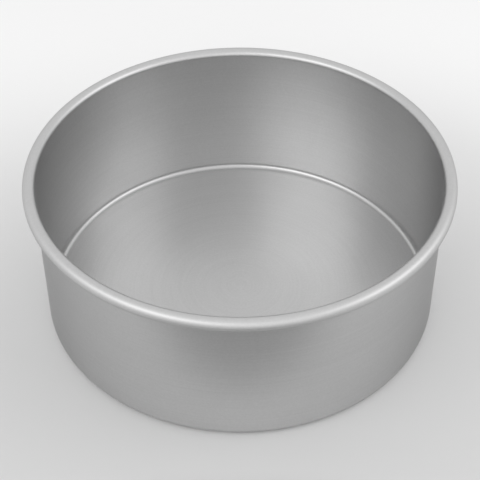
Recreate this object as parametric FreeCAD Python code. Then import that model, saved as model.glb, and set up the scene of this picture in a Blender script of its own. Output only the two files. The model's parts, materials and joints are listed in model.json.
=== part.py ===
import FreeCAD, Part
import math
import os

# Round deep cake tin: a seamless aluminium shell, spun from one disc, with its rim rolled over a wire.
# Millimetres, +Z up. The origin is the centre of the flat underside, on the tin's axis.

# Driving dimensions
INSIDE_DIAMETER = 200.0      # across the inside of the straight wall
INSIDE_DEPTH = 81.0          # from the floor to the top of the rolled rim
SHEET = 1.0                  # thickness of the aluminium sheet
CORNER_INSIDE_RADIUS = 3.0   # where the floor turns up into the wall
WIRE_DIAMETER = 4.0          # the wire inside the rolled rim
WIRE_BUTT_GAP = 0.8          # between the wire's two cut ends

# Clearances
WIRE_CLEARANCE = 0.2         # between the wire and the sheet rolled round it
CURL_TIP_GAP = 0.3           # between the sheet's rolled-in edge and the outside of the wall

# The wall
wall_inside = INSIDE_DIAMETER / 2
wall_outside = wall_inside + SHEET

# The corner between floor and wall: two arcs about one centre
corner_outside_radius = CORNER_INSIDE_RADIUS + SHEET
corner_r = wall_inside - CORNER_INSIDE_RADIUS
corner_z = SHEET + CORNER_INSIDE_RADIUS

# The rolled rim: the sheet wraps the wire at one clearance, and its inside meets the wall's inside
wire_radius = WIRE_DIAMETER / 2
curl_inner_radius = wire_radius + WIRE_CLEARANCE
curl_middle_radius = curl_inner_radius + SHEET / 2
curl_outer_radius = curl_inner_radius + SHEET
rim_r = wall_inside + curl_outer_radius
rim_z = SHEET + INSIDE_DEPTH - curl_outer_radius

# The curl runs from the wall, over the top and under the wire, until its rounded edge nears the wall
tip_radius = SHEET / 2
tip_r = wall_outside + CURL_TIP_GAP + tip_radius
CURL_START = math.pi
curl_end = -math.acos((tip_r - rim_r) / curl_middle_radius)

AXIS_POINT = FreeCAD.Vector(0, 0, 0)
AXIS_DIRECTION = FreeCAD.Vector(0, 0, 1)
FULL_TURN = 360.0


def section_point(r, z):
    """A point of the half section, at radius r from the tin's axis."""
    return FreeCAD.Vector(r, 0, z)


def on_circle(centre_r, centre_z, radius, angle):
    """The half section's point at an angle, in radians from outwards, on a circle."""
    return section_point(centre_r + radius * math.cos(angle), centre_z + radius * math.sin(angle))


def line(start, end):
    return Part.LineSegment(start, end).toShape()


def arc(centre_r, centre_z, radius, start_angle, end_angle):
    """The arc from one angle to another, either way round, as an exact spline that meshes evenly once turned."""
    angles = (start_angle, (start_angle + end_angle) / 2, end_angle)
    return Part.Arc(*(on_circle(centre_r, centre_z, radius, angle) for angle in angles)).toBSpline().toShape()


def curl_arcs(radius, *angles):
    """One side of the rolled rim, as arcs from each angle to the next."""
    return [arc(rim_r, rim_z, radius, start, end) for start, end in zip(angles, angles[1:])]


def turned(outline, degrees):
    """The solid that a closed outline sweeps round the tin's axis."""
    return Part.Face(Part.Wire(outline)).revolve(AXIS_POINT, AXIS_DIRECTION, degrees)


def shell_body():
    """Floor, wall and rolled rim as the one sheet that they are."""
    curl_tip_r = rim_r + curl_middle_radius * math.cos(curl_end)
    curl_tip_z = rim_z + curl_middle_radius * math.sin(curl_end)
    up = math.pi / 2
    down = -up
    outline = [
        line(section_point(0, 0), section_point(corner_r, 0)),
        arc(corner_r, corner_z, corner_outside_radius, down, 0),
        line(section_point(wall_outside, corner_z), section_point(wall_outside, rim_z)),
        *curl_arcs(curl_inner_radius, CURL_START, up, 0, curl_end),
        arc(curl_tip_r, curl_tip_z, tip_radius, curl_end - math.pi, curl_end),
        *curl_arcs(curl_outer_radius, curl_end, 0, up, CURL_START),
        line(section_point(wall_inside, rim_z), section_point(wall_inside, corner_z)),
        arc(corner_r, corner_z, CORNER_INSIDE_RADIUS, 0, down),
        line(section_point(corner_r, SHEET), section_point(0, SHEET)),
        line(section_point(0, SHEET), section_point(0, 0)),
    ]
    return turned(outline, FULL_TURN)


def rim_wire():
    """The stiffening wire, bent into a ring whose two cut ends stop a butt gap short of each other."""
    gap_degrees = math.degrees(WIRE_BUTT_GAP / rim_r)
    wire_section = Part.Circle(section_point(rim_r, rim_z), FreeCAD.Vector(0, 1, 0), wire_radius)
    return turned([wire_section.toShape()], FULL_TURN - gap_degrees)


PIECES = {
    "tin_shell": shell_body,
    "rim_wire": rim_wire,
}

os.makedirs("parts", exist_ok=True)
for node, make in PIECES.items():
    make().exportStep(f"parts/{node}.step")
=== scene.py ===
import bpy
import json
import math
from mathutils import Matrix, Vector


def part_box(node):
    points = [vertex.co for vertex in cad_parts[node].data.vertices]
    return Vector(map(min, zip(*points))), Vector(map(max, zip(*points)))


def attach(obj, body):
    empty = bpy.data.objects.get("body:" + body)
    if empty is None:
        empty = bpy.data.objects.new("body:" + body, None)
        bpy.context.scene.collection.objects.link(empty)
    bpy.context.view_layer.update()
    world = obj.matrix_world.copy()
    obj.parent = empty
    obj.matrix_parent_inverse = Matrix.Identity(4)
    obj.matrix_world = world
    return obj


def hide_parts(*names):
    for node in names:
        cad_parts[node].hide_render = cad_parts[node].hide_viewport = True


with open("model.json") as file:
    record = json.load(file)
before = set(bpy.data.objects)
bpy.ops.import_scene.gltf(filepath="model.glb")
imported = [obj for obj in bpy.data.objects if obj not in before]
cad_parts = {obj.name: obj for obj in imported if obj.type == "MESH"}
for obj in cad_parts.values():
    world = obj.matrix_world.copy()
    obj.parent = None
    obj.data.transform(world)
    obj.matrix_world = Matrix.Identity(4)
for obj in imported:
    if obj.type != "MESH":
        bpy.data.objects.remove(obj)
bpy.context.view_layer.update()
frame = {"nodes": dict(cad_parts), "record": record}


# The shell of the tin: one disc of aluminium sheet, spun over a former until floor, corner and wall
# are one skin with no seam. Its upper edge is rolled outwards over a wire, and the whole is then
# etched and clear anodised to a satin grey.

MM = 0.001
mounts = {mount["name"]: mount for mount in frame["record"]["mounts"]}
shell_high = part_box("tin_shell")[1]

sheet = mounts["inside_floor"]["pos_m"][2] - mounts["underside"]["pos_m"][2]
wall_inside = mounts["inside_wall"]["dims"]["r_mm"] * MM
wall_outside = wall_inside + sheet
straight_wall = mounts["inside_wall"]["dims"]["length_mm"] * MM

rim_outside_radius = (shell_high.x - wall_inside) / 2
rim_inside_radius = rim_outside_radius - sheet
rim_middle_radius = rim_outside_radius - sheet / 2
rim_r = wall_inside + rim_outside_radius
rim_z = shell_high.z - rim_outside_radius

corner_z = rim_z - straight_wall
corner_inside_radius = corner_z - sheet
corner_outside_radius = corner_inside_radius + sheet
corner_r = wall_inside - corner_inside_radius

EDGE_GAP = 0.3 * MM          # between the rolled-in edge of the sheet and the wall
edge_radius = sheet / 2
edge_angle = -math.acos((wall_outside + EDGE_GAP + edge_radius - rim_r) / rim_middle_radius)
edge_r = rim_r + rim_middle_radius * math.cos(edge_angle)
edge_z = rim_z + rim_middle_radius * math.sin(edge_angle)

ROUND_STEPS = 256
FLAT_STEPS = 10
WALL_STEPS = 12
CORNER_STEPS = 10
RIM_STEPS = 32
EDGE_STEPS = 8
FULL_TURN = 2 * math.pi
HALF_TURN = math.pi
QUARTER_TURN = math.pi / 2
ROUNDED = 1                  # a bend's skin faces away from its centre
HOLLOW = -1                  # or towards it, where the metal lies outside
STRETCHED = 1.0              # the outside of a bend stretches as it is spun, most at its middle
UNSTRETCHED = 0.0
UNSCUFFED = 0.0


def straight_run(start, end, facing, steps):
    """Points of the section from start up to, but not at, end: place, the way the skin faces, stretch."""
    (r0, z0), (r1, z1) = start, end
    shares = [step / steps for step in range(steps)]
    return [(r0 + (r1 - r0) * share, z0 + (z1 - z0) * share, *facing, UNSTRETCHED) for share in shares]


def bend(centre, radius, start_angle, end_angle, steps, most_stretch, side=ROUNDED):
    """Points of the section along an arc, up to but not at its end, in the same form."""
    centre_r, centre_z = centre
    arc_points = []
    for share in (step / steps for step in range(steps)):
        angle = start_angle + (end_angle - start_angle) * share
        across = math.cos(angle)
        up = math.sin(angle)
        place = (centre_r + radius * across, centre_z + radius * up)
        stretch = most_stretch * math.sin(math.pi * share)
        arc_points.append((*place, side * across, side * up, stretch))
    return arc_points


rim_centre = (rim_r, rim_z)
corner_centre = (corner_r, corner_z)
underside = straight_run((0, 0), (corner_r, 0), (0, -1), FLAT_STEPS)
strip = [
    *bend(corner_centre, corner_outside_radius, -QUARTER_TURN, 0, CORNER_STEPS, STRETCHED),
    *straight_run((wall_outside, corner_z), (wall_outside, rim_z), (1, 0), WALL_STEPS),
    *bend(rim_centre, rim_inside_radius, HALF_TURN, edge_angle, RIM_STEPS, UNSTRETCHED, HOLLOW),
    *bend((edge_r, edge_z), edge_radius, edge_angle - HALF_TURN, edge_angle, EDGE_STEPS, UNSTRETCHED),
    *bend(rim_centre, rim_outside_radius, edge_angle, HALF_TURN, RIM_STEPS, STRETCHED),
    *straight_run((wall_inside, rim_z), (wall_inside, corner_z), (-1, 0), WALL_STEPS),
    *bend(corner_centre, corner_inside_radius, 0, -QUARTER_TURN, CORNER_STEPS, UNSTRETCHED, HOLLOW),
]
middle_of_floor = (0, sheet, 0, 1, UNSTRETCHED)
inside_floor = [*straight_run((corner_r, sheet), (0, sheet), (0, 1), FLAT_STEPS), middle_of_floor]
section = underside + strip + inside_floor

# Each point of the section is turned into a ring, and a point on the axis stays one point
points = []
facings = []
point_values = {"section_run": [], "stretch": [], "scuff": []}
ring_starts = []
ring_runs = []
run = 0.0
for number, (r, z, facing_r, facing_z, stretch) in enumerate(section):
    if number:
        run += math.dist((r, z), section[number - 1][:2])
    ring_starts.append(len(points))
    ring_runs.append(run)
    scuff = max(UNSCUFFED, -facing_z) if z < corner_z else UNSCUFFED
    for step in range(ROUND_STEPS if r else 1):
        turn = FULL_TURN * step / ROUND_STEPS
        points.append((r * math.cos(turn), r * math.sin(turn), z))
        facings.append((facing_r * math.cos(turn), facing_r * math.sin(turn), facing_z))
        point_values["section_run"].append(run)
        point_values["stretch"].append(stretch)
        point_values["scuff"].append(scuff)

# The flat map that the finish can be baked to: the strip along one side, and the two discs above it
MAP_MARGIN = 0.01
AS_SEEN_FROM_BELOW = -1
AS_SEEN_FROM_ABOVE = 1
strip_first = len(underside)
strip_last = strip_first + len(strip)
strip_run = ring_runs[strip_last] - ring_runs[strip_first]
strip_width = 1 - 2 * MAP_MARGIN
strip_height = strip_run * strip_width / (FULL_TURN * shell_high.x)
disc_radius = (1 - 3 * MAP_MARGIN) / 4
disc_up = 2 * MAP_MARGIN + strip_height + disc_radius
underside_across = MAP_MARGIN + disc_radius
inside_floor_across = 1 - underside_across


def disc_place(ring, step, across, way):
    """A corner of the underside or the inside floor on the flat map."""
    turn = FULL_TURN * step / ROUND_STEPS
    out = disc_radius * section[ring][0] / corner_r
    return across + out * math.cos(turn), disc_up + way * out * math.sin(turn)


def map_place(first_ring, ring, step):
    """A corner on the flat map, of a face that starts at first_ring."""
    if first_ring < strip_first:
        return disc_place(ring, step, underside_across, AS_SEEN_FROM_BELOW)
    if first_ring >= strip_last:
        return disc_place(ring, step, inside_floor_across, AS_SEEN_FROM_ABOVE)
    up = (ring_runs[ring] - ring_runs[strip_first]) / strip_run
    return MAP_MARGIN + strip_width * step / ROUND_STEPS, MAP_MARGIN + strip_height * up


# The faces between each ring and the next, which are triangles where one of the two is a point
faces = []
map_places = []
last_ring = len(section) - 1
for ring in range(last_ring):
    for step in range(ROUND_STEPS):
        corners = [(ring, step), (ring, step + 1), (ring + 1, step + 1), (ring + 1, step)]
        if ring == 0:
            del corners[1]
        if ring + 1 == last_ring:
            del corners[3]
        faces.append([
            ring_starts[at] + (turned % ROUND_STEPS if section[at][0] else 0)
            for at, turned in corners
        ])
        map_places.extend(map_place(ring, at, turned) for at, turned in corners)

shell_mesh = bpy.data.meshes.new("cake_tin_shell")
shell_mesh.from_pydata(points, [], faces)
shell_mesh.shade_smooth()
shell_mesh.normals_split_custom_set_from_vertices(facings)
flat_map = shell_mesh.uv_layers.new(name="OFBake")
flat_map.uv.foreach_set("vector", [number for place in map_places for number in place])
for name, values in point_values.items():
    shell_mesh.attributes.new(name, "FLOAT", "POINT").data.foreach_set("value", values)
shell = bpy.data.objects.new("cake_tin_shell", shell_mesh)
bpy.context.scene.collection.objects.link(shell)


def new_material(name):
    """An empty node material: its node tree, itself and its output node."""
    material = bpy.data.materials.new(name)
    material.use_nodes = True
    material.node_tree.nodes.clear()
    return material.node_tree, material, material.node_tree.nodes.new("ShaderNodeOutputMaterial")


def node(tree, kind, **settings):
    """A node of a kind. A setting is one of its properties, or a socket's value or the output it takes.

    A socket is named with _ for each space, or by its number, such as _0.
    """
    made = tree.nodes.new(kind)
    sockets = {}
    for name, value in settings.items():
        if hasattr(made, name):
            setattr(made, name, value)
        else:
            sockets[name] = value
    for name, value in sockets.items():
        socket = made.inputs[int(name[1:])] if name[0] == "_" else made.inputs[name.replace("_", " ")]
        if isinstance(value, bpy.types.NodeSocket):
            tree.links.new(value, socket)
        else:
            socket.default_value = value
    return made


def maths(tree, operation, *values):
    """What a Math node makes of numbers or outputs."""
    sockets = {f"_{number}": value for number, value in enumerate(values)}
    return node(tree, "ShaderNodeMath", operation=operation, **sockets).outputs[0]


def vector_maths(tree, operation, *vectors, **settings):
    """The Vector Math node that works on vectors or outputs."""
    sockets = {f"_{number}": vector for number, vector in enumerate(vectors)}
    return node(tree, "ShaderNodeVectorMath", operation=operation, **sockets, **settings)


def varied(tree, level, *changes):
    """A level that changes over the skin. A change is an output, and what one of it adds to the level."""
    for output, amount in changes:
        level = maths(tree, "MULTIPLY_ADD", output, amount, level)
    return level


LINE_LAYERS = 2.0            # how many sizes of unevenness lie in each other
GRAIN_LAYERS = 3.0
CLOUD_LAYERS = 4.0
NOISE_MIDDLE = 0.5


def metal_finish_group():
    """What working and etching leave on a metal: tool lines, fine grain and faint clouds, about nought."""
    group = bpy.data.node_groups.new("metal_finish", "ShaderNodeTree")
    for name in ("Place", "Across Lines"):
        group.interface.new_socket(name, in_out="INPUT", socket_type="NodeSocketVector")
    for name in ("Line Spacing", "Grain Size", "Cloud Size"):
        group.interface.new_socket(name, in_out="INPUT", socket_type="NodeSocketFloat")
    for name in ("Lines", "Grain", "Clouds"):
        group.interface.new_socket(name, in_out="OUTPUT", socket_type="NodeSocketFloat")
    given = group.nodes.new("NodeGroupInput")
    made = group.nodes.new("NodeGroupOutput")
    for name, place, size, layers in (
        ("Lines", "Across Lines", "Line Spacing", LINE_LAYERS),
        ("Grain", "Place", "Grain Size", GRAIN_LAYERS),
        ("Clouds", "Place", "Cloud Size", CLOUD_LAYERS),
    ):
        scale = maths(group, "DIVIDE", 1.0, given.outputs[size])
        texture = node(group, "ShaderNodeTexNoise", Vector=given.outputs[place], Scale=scale, Detail=layers)
        about_nought = maths(group, "SUBTRACT", texture.outputs["Fac"], NOISE_MIDDLE)
        group.links.new(about_nought, made.inputs[name])
    return group


metal_finish = metal_finish_group()
WITHOUT_HEIGHT = (1.0, 1.0, 0.0)


def worked_skin(tree, place, across, waver, **sizes):
    """The lines, grain and clouds of a metal worked round the axis. Its lines drift by waver as they go."""
    level_place = vector_maths(tree, "MULTIPLY", place, WITHOUT_HEIGHT).outputs[0]
    way_round = vector_maths(tree, "NORMALIZE", level_place).outputs[0]
    drift = vector_maths(tree, "SCALE", way_round, Scale=waver).outputs[0]
    finish = node(
        tree,
        "ShaderNodeGroup",
        node_tree=metal_finish,
        Place=place,
        Across_Lines=vector_maths(tree, "ADD", drift, across).outputs[0],
        **sizes,
    )
    return [finish.outputs[name] for name in ("Lines", "Grain", "Clouds")]


ANODISED_GREY = 0.63
ANODISED_ROUGHNESS = 0.37
GLANCING_SHINE = 0.55        # the oxide skin holds back some light at a glancing angle
SPIN_LINE_SPACING = 0.9 * MM
SPIN_LINE_WAVER = 0.6 * MM
SPIN_LINE_DEPTH = 0.005 * MM
SPIN_LINE_TONE = 0.06
SPIN_LINE_DULLNESS = 0.06
ETCH_GRAIN_SIZE = 1.1 * MM
ETCH_GRAIN_DEPTH = 0.01 * MM
ETCH_GRAIN_TONE = 0.09
ETCH_GRAIN_DULLNESS = 0.1
CLOUD_SIZE = 30 * MM
CLOUD_TONE = 0.03
CLOUD_DULLNESS = -0.03
STRETCH_TONE = 0.02          # a stretched bend is paler, and its opened grain is duller than the wall's
STRETCH_DULLNESS = 0.14
SCUFF_LENGTH = 16 * MM       # what shelves and oven racks leave on the underside
SCUFF_WIDTH = 0.3 * MM
SCUFF_WAYS = (0.3, 1.1, 2.4)
SCUFF_FROM = 0.64            # of the noise, where a scuff begins to show
SCUFF_FULL = 0.72
SCUFF_TONE = 0.05
SCUFF_DULLNESS = 0.05
SCUFF_DEPTH = -0.004 * MM

tree, anodised, output = new_material("satin_anodised_aluminium")
place = node(tree, "ShaderNodeTexCoord").outputs["Object"]
along_section = node(tree, "ShaderNodeAttribute", attribute_name="section_run").outputs["Fac"]
stretched = node(tree, "ShaderNodeAttribute", attribute_name="stretch").outputs["Fac"]
can_scuff = node(tree, "ShaderNodeAttribute", attribute_name="scuff").outputs["Fac"]
lines, grain, clouds = worked_skin(
    tree,
    place,
    node(tree, "ShaderNodeCombineXYZ", Z=along_section).outputs[0],
    SPIN_LINE_WAVER,
    Line_Spacing=SPIN_LINE_SPACING,
    Grain_Size=ETCH_GRAIN_SIZE,
    Cloud_Size=CLOUD_SIZE,
)


def scuffs_along(way):
    """Where the underside is scuffed by sliding one way, in radians round the axis."""
    scale = (1 / SCUFF_LENGTH, 1 / SCUFF_WIDTH, 1.0)
    slid = node(tree, "ShaderNodeMapping", Vector=place, Rotation=(0.0, 0.0, way), Scale=scale)
    texture = node(tree, "ShaderNodeTexNoise", Vector=slid.outputs[0], Scale=1.0, Detail=1.0)
    return node(
        tree,
        "ShaderNodeMapRange",
        Value=texture.outputs["Fac"],
        From_Min=SCUFF_FROM,
        From_Max=SCUFF_FULL,
    ).outputs["Result"]


all_scuffs = varied(tree, 0.0, *((scuffs_along(way), 1.0) for way in SCUFF_WAYS))
scuffed = maths(tree, "MULTIPLY", all_scuffs, can_scuff)
skin_height = varied(
    tree,
    0.0,
    (lines, SPIN_LINE_DEPTH),
    (grain, ETCH_GRAIN_DEPTH),
    (scuffed, SCUFF_DEPTH),
)
tone = varied(
    tree,
    ANODISED_GREY,
    (clouds, CLOUD_TONE),
    (lines, SPIN_LINE_TONE),
    (grain, ETCH_GRAIN_TONE),
    (scuffed, SCUFF_TONE),
    (stretched, STRETCH_TONE),
)
dullness = varied(
    tree,
    ANODISED_ROUGHNESS,
    (clouds, CLOUD_DULLNESS),
    (lines, SPIN_LINE_DULLNESS),
    (grain, ETCH_GRAIN_DULLNESS),
    (scuffed, SCUFF_DULLNESS),
    (stretched, STRETCH_DULLNESS),
)
aluminium = node(
    tree,
    "ShaderNodeBsdfPrincipled",
    Base_Color=tone,
    Metallic=1.0,
    Roughness=dullness,
    Specular_Tint=(GLANCING_SHINE, GLANCING_SHINE, GLANCING_SHINE, 1),
    Normal=node(tree, "ShaderNodeBump", Strength=1.0, Distance=1.0, Height=skin_height).outputs[0],
)
tree.links.new(aluminium.outputs[0], output.inputs["Surface"])
shell_mesh.materials.append(anodised)

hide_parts("tin_shell")
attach(shell, "root")


# The wire that the rim is rolled over: one length of drawn and galvanised steel wire, bent into a ring
# with its ends butted. Nothing else holds it: the rolled sheet closes round it, and only the slit under
# the rim shows a little of it.

GALVANISED_GREY = 0.5
GALVANISED_ROUGHNESS = 0.38
DRAW_LINE_SPACING = 0.25 * MM
DRAW_LINE_WAVER = 4 * MM
DRAW_LINE_DEPTH = 0.004 * MM
DRAW_LINE_DULLNESS = 0.1
SPANGLE_SIZE = 1.5 * MM
SPANGLE_TONE = 0.2
SPANGLE_DULLNESS = 0.2
ZINC_GRAIN_SIZE = 0.2 * MM
ZINC_GRAIN_TONE = 0.06

tree, galvanised, output = new_material("galvanised_steel_wire")
place = node(tree, "ShaderNodeTexCoord").outputs["Object"]
level_place = vector_maths(tree, "MULTIPLY", place, WITHOUT_HEIGHT).outputs[0]
from_axis = vector_maths(tree, "LENGTH", level_place).outputs["Value"]
height = node(tree, "ShaderNodeSeparateXYZ", Vector=place).outputs["Z"]
lines, grain, spangle = worked_skin(
    tree,
    place,
    node(tree, "ShaderNodeCombineXYZ", X=from_axis, Z=height).outputs[0],
    DRAW_LINE_WAVER,
    Line_Spacing=DRAW_LINE_SPACING,
    Grain_Size=ZINC_GRAIN_SIZE,
    Cloud_Size=SPANGLE_SIZE,
)
skin_height = varied(tree, 0.0, (lines, DRAW_LINE_DEPTH))
steel = node(
    tree,
    "ShaderNodeBsdfPrincipled",
    Base_Color=varied(tree, GALVANISED_GREY, (spangle, SPANGLE_TONE), (grain, ZINC_GRAIN_TONE)),
    Metallic=1.0,
    Roughness=varied(tree, GALVANISED_ROUGHNESS, (spangle, SPANGLE_DULLNESS), (lines, DRAW_LINE_DULLNESS)),
    Normal=node(tree, "ShaderNodeBump", Strength=1.0, Distance=1.0, Height=skin_height).outputs[0],
)
tree.links.new(steel.outputs[0], output.inputs["Surface"])
wire = frame["nodes"]["rim_wire"]
wire.data.materials.clear()
wire.data.materials.append(galvanised)


# The floor that the tin stands on: a wide sheet of plain background paper, pale round the tin and
# whiter behind it. In front, out of the picture, a soft grey patch is painted into its colour: a painted
# shadow that stands for the one a camera and its stand would cast, because the tin's front wall mirrors
# that place.

PAPER_PALE = 0.67
PAPER_WHITE = 0.95
PALE_UP_TO = -0.1            # metres from the tin's axis, to the back
WHITE_FROM = 0.25
PAINTED_SHADOW_DEPTH = 0.37           # how much of the paper's tone the painted shadow takes, at its middle
PAINTED_SHADOW_MIDDLE = (0.0, -0.205, 0.0)
PAINTED_SHADOW_REACH = (0.22, 0.085, 1.0)
PAINTED_SHADOW_FULL_WITHIN = 0.5      # of its reach
PAINTED_SHADOW_GONE_FROM = 1.0
FLOOR_HALF = 3.0
FLOOR_DROP = 0.0002
FLOOR_CORNERS = ((-1, -1), (1, -1), (1, 1), (-1, 1))

floor_mesh = bpy.data.meshes.new("floor")
floor_points = [(x * FLOOR_HALF, y * FLOOR_HALF, -FLOOR_DROP) for x, y in FLOOR_CORNERS]
floor_mesh.from_pydata(floor_points, [], [(0, 1, 2, 3)])
floor = bpy.data.objects.new("floor", floor_mesh)
bpy.context.scene.collection.objects.link(floor)

tree, paper, output = new_material("background_paper_with_painted_shadow")
floor_place = node(tree, "ShaderNodeTexCoord").outputs["Object"]
to_back = node(tree, "ShaderNodeSeparateXYZ", Vector=floor_place).outputs["Y"]
# Where the painted shadow lies: how many of its reaches each place is from its middle
from_painted_shadow = vector_maths(tree, "SUBTRACT", floor_place, PAINTED_SHADOW_MIDDLE).outputs[0]
in_reaches = vector_maths(tree, "DIVIDE", from_painted_shadow, PAINTED_SHADOW_REACH).outputs[0]
reaches_off = vector_maths(tree, "LENGTH", in_reaches).outputs["Value"]


def soft_step(value, start, end):
    """Nought up to start, one from end on, and smooth between them."""
    return node(
        tree,
        "ShaderNodeMapRange",
        interpolation_type="SMOOTHSTEP",
        Value=value,
        From_Min=start,
        From_Max=end,
    ).outputs["Result"]


# The paper's tone: a painted shadow, darkest at its middle and gone a reach away, and whiter paper towards
# the back
paper_tone_and_painted_shadow = varied(
    tree,
    PAPER_PALE - PAINTED_SHADOW_DEPTH,
    (soft_step(reaches_off, PAINTED_SHADOW_FULL_WITHIN, PAINTED_SHADOW_GONE_FROM), PAINTED_SHADOW_DEPTH),
    (soft_step(to_back, PALE_UP_TO, WHITE_FROM), PAPER_WHITE - PAPER_PALE),
)
paper_face = node(tree, "ShaderNodeBsdfDiffuse", Color=paper_tone_and_painted_shadow)
tree.links.new(paper_face.outputs[0], output.inputs["Surface"])
floor_mesh.materials.append(paper)


# The light: a plain pale studio, and three soft boxes that face the tin from the left, the right and
# the front. Each stands some degrees round from the tin's right and some degrees up from the floor,
# and its level is its brightness beside paper white.

STUDIO_LEVEL = 0.82
BOX_DISTANCE = 1.1
AIM = Vector((0.0, 0.0, 0.04))
SOFT_BOXES = {
    "left": dict(round=224, up=40, size=(1.0, 0.45), level=1.75),
    "right": dict(round=348, up=36, size=(0.9, 0.5), level=1.35),
    "front": dict(round=280, up=24, size=(0.8, 0.4), level=0.45),
}
for name, box in SOFT_BOXES.items():
    lamp = bpy.data.lights.new(f"soft_box_{name}", "AREA")
    lamp.shape = "RECTANGLE"
    lamp.size, lamp.size_y = box["size"]
    lamp.energy = math.pi * lamp.size * lamp.size_y * box["level"]
    turn = math.radians(box["round"])
    rise = math.radians(box["up"])
    way = Vector((math.cos(rise) * math.cos(turn), math.cos(rise) * math.sin(turn), math.sin(rise)))
    stand = bpy.data.objects.new(f"soft_box_{name}", lamp)
    stand.location = AIM + way * BOX_DISTANCE
    stand.rotation_euler = way.to_track_quat("Z", "Y").to_euler()
    bpy.context.scene.collection.objects.link(stand)

world = bpy.data.worlds.new("studio")
bpy.context.scene.world = world
world.use_nodes = True
studio_grey = (STUDIO_LEVEL, STUDIO_LEVEL, STUDIO_LEVEL, 1)
world.node_tree.nodes["Background"].inputs["Color"].default_value = studio_grey
bpy.context.scene.view_settings.view_transform = "Standard"


# The camera, which looks down on the tin from straight in front. The photograph's outlines place it:
# the rim's ellipse, the line round the floor and the foot of the wall give its height, its distance
# and how far down it looks.

PICTURE_PIXELS = 480
FOCAL_PIXELS = 1252.0
SENSOR_WIDTH = 36.0
LOOKS_LEVEL = 90             # degrees of tilt, because a camera without any looks straight down
CAMERA_PLACE = (0.0, -0.4765, 0.4710)
CAMERA_DOWN = 42.557         # degrees below level
CAMERA_ROLL = -0.0035        # radians

camera_data = bpy.data.cameras.new("camera")
camera_data.sensor_width = SENSOR_WIDTH
camera_data.lens = FOCAL_PIXELS / PICTURE_PIXELS * SENSOR_WIDTH
camera = bpy.data.objects.new("camera", camera_data)
camera.location = CAMERA_PLACE
camera.rotation_mode = "ZYX"
camera.rotation_euler = (math.radians(LOOKS_LEVEL - CAMERA_DOWN), 0, CAMERA_ROLL)
bpy.context.scene.collection.objects.link(camera)
bpy.context.scene.camera = camera
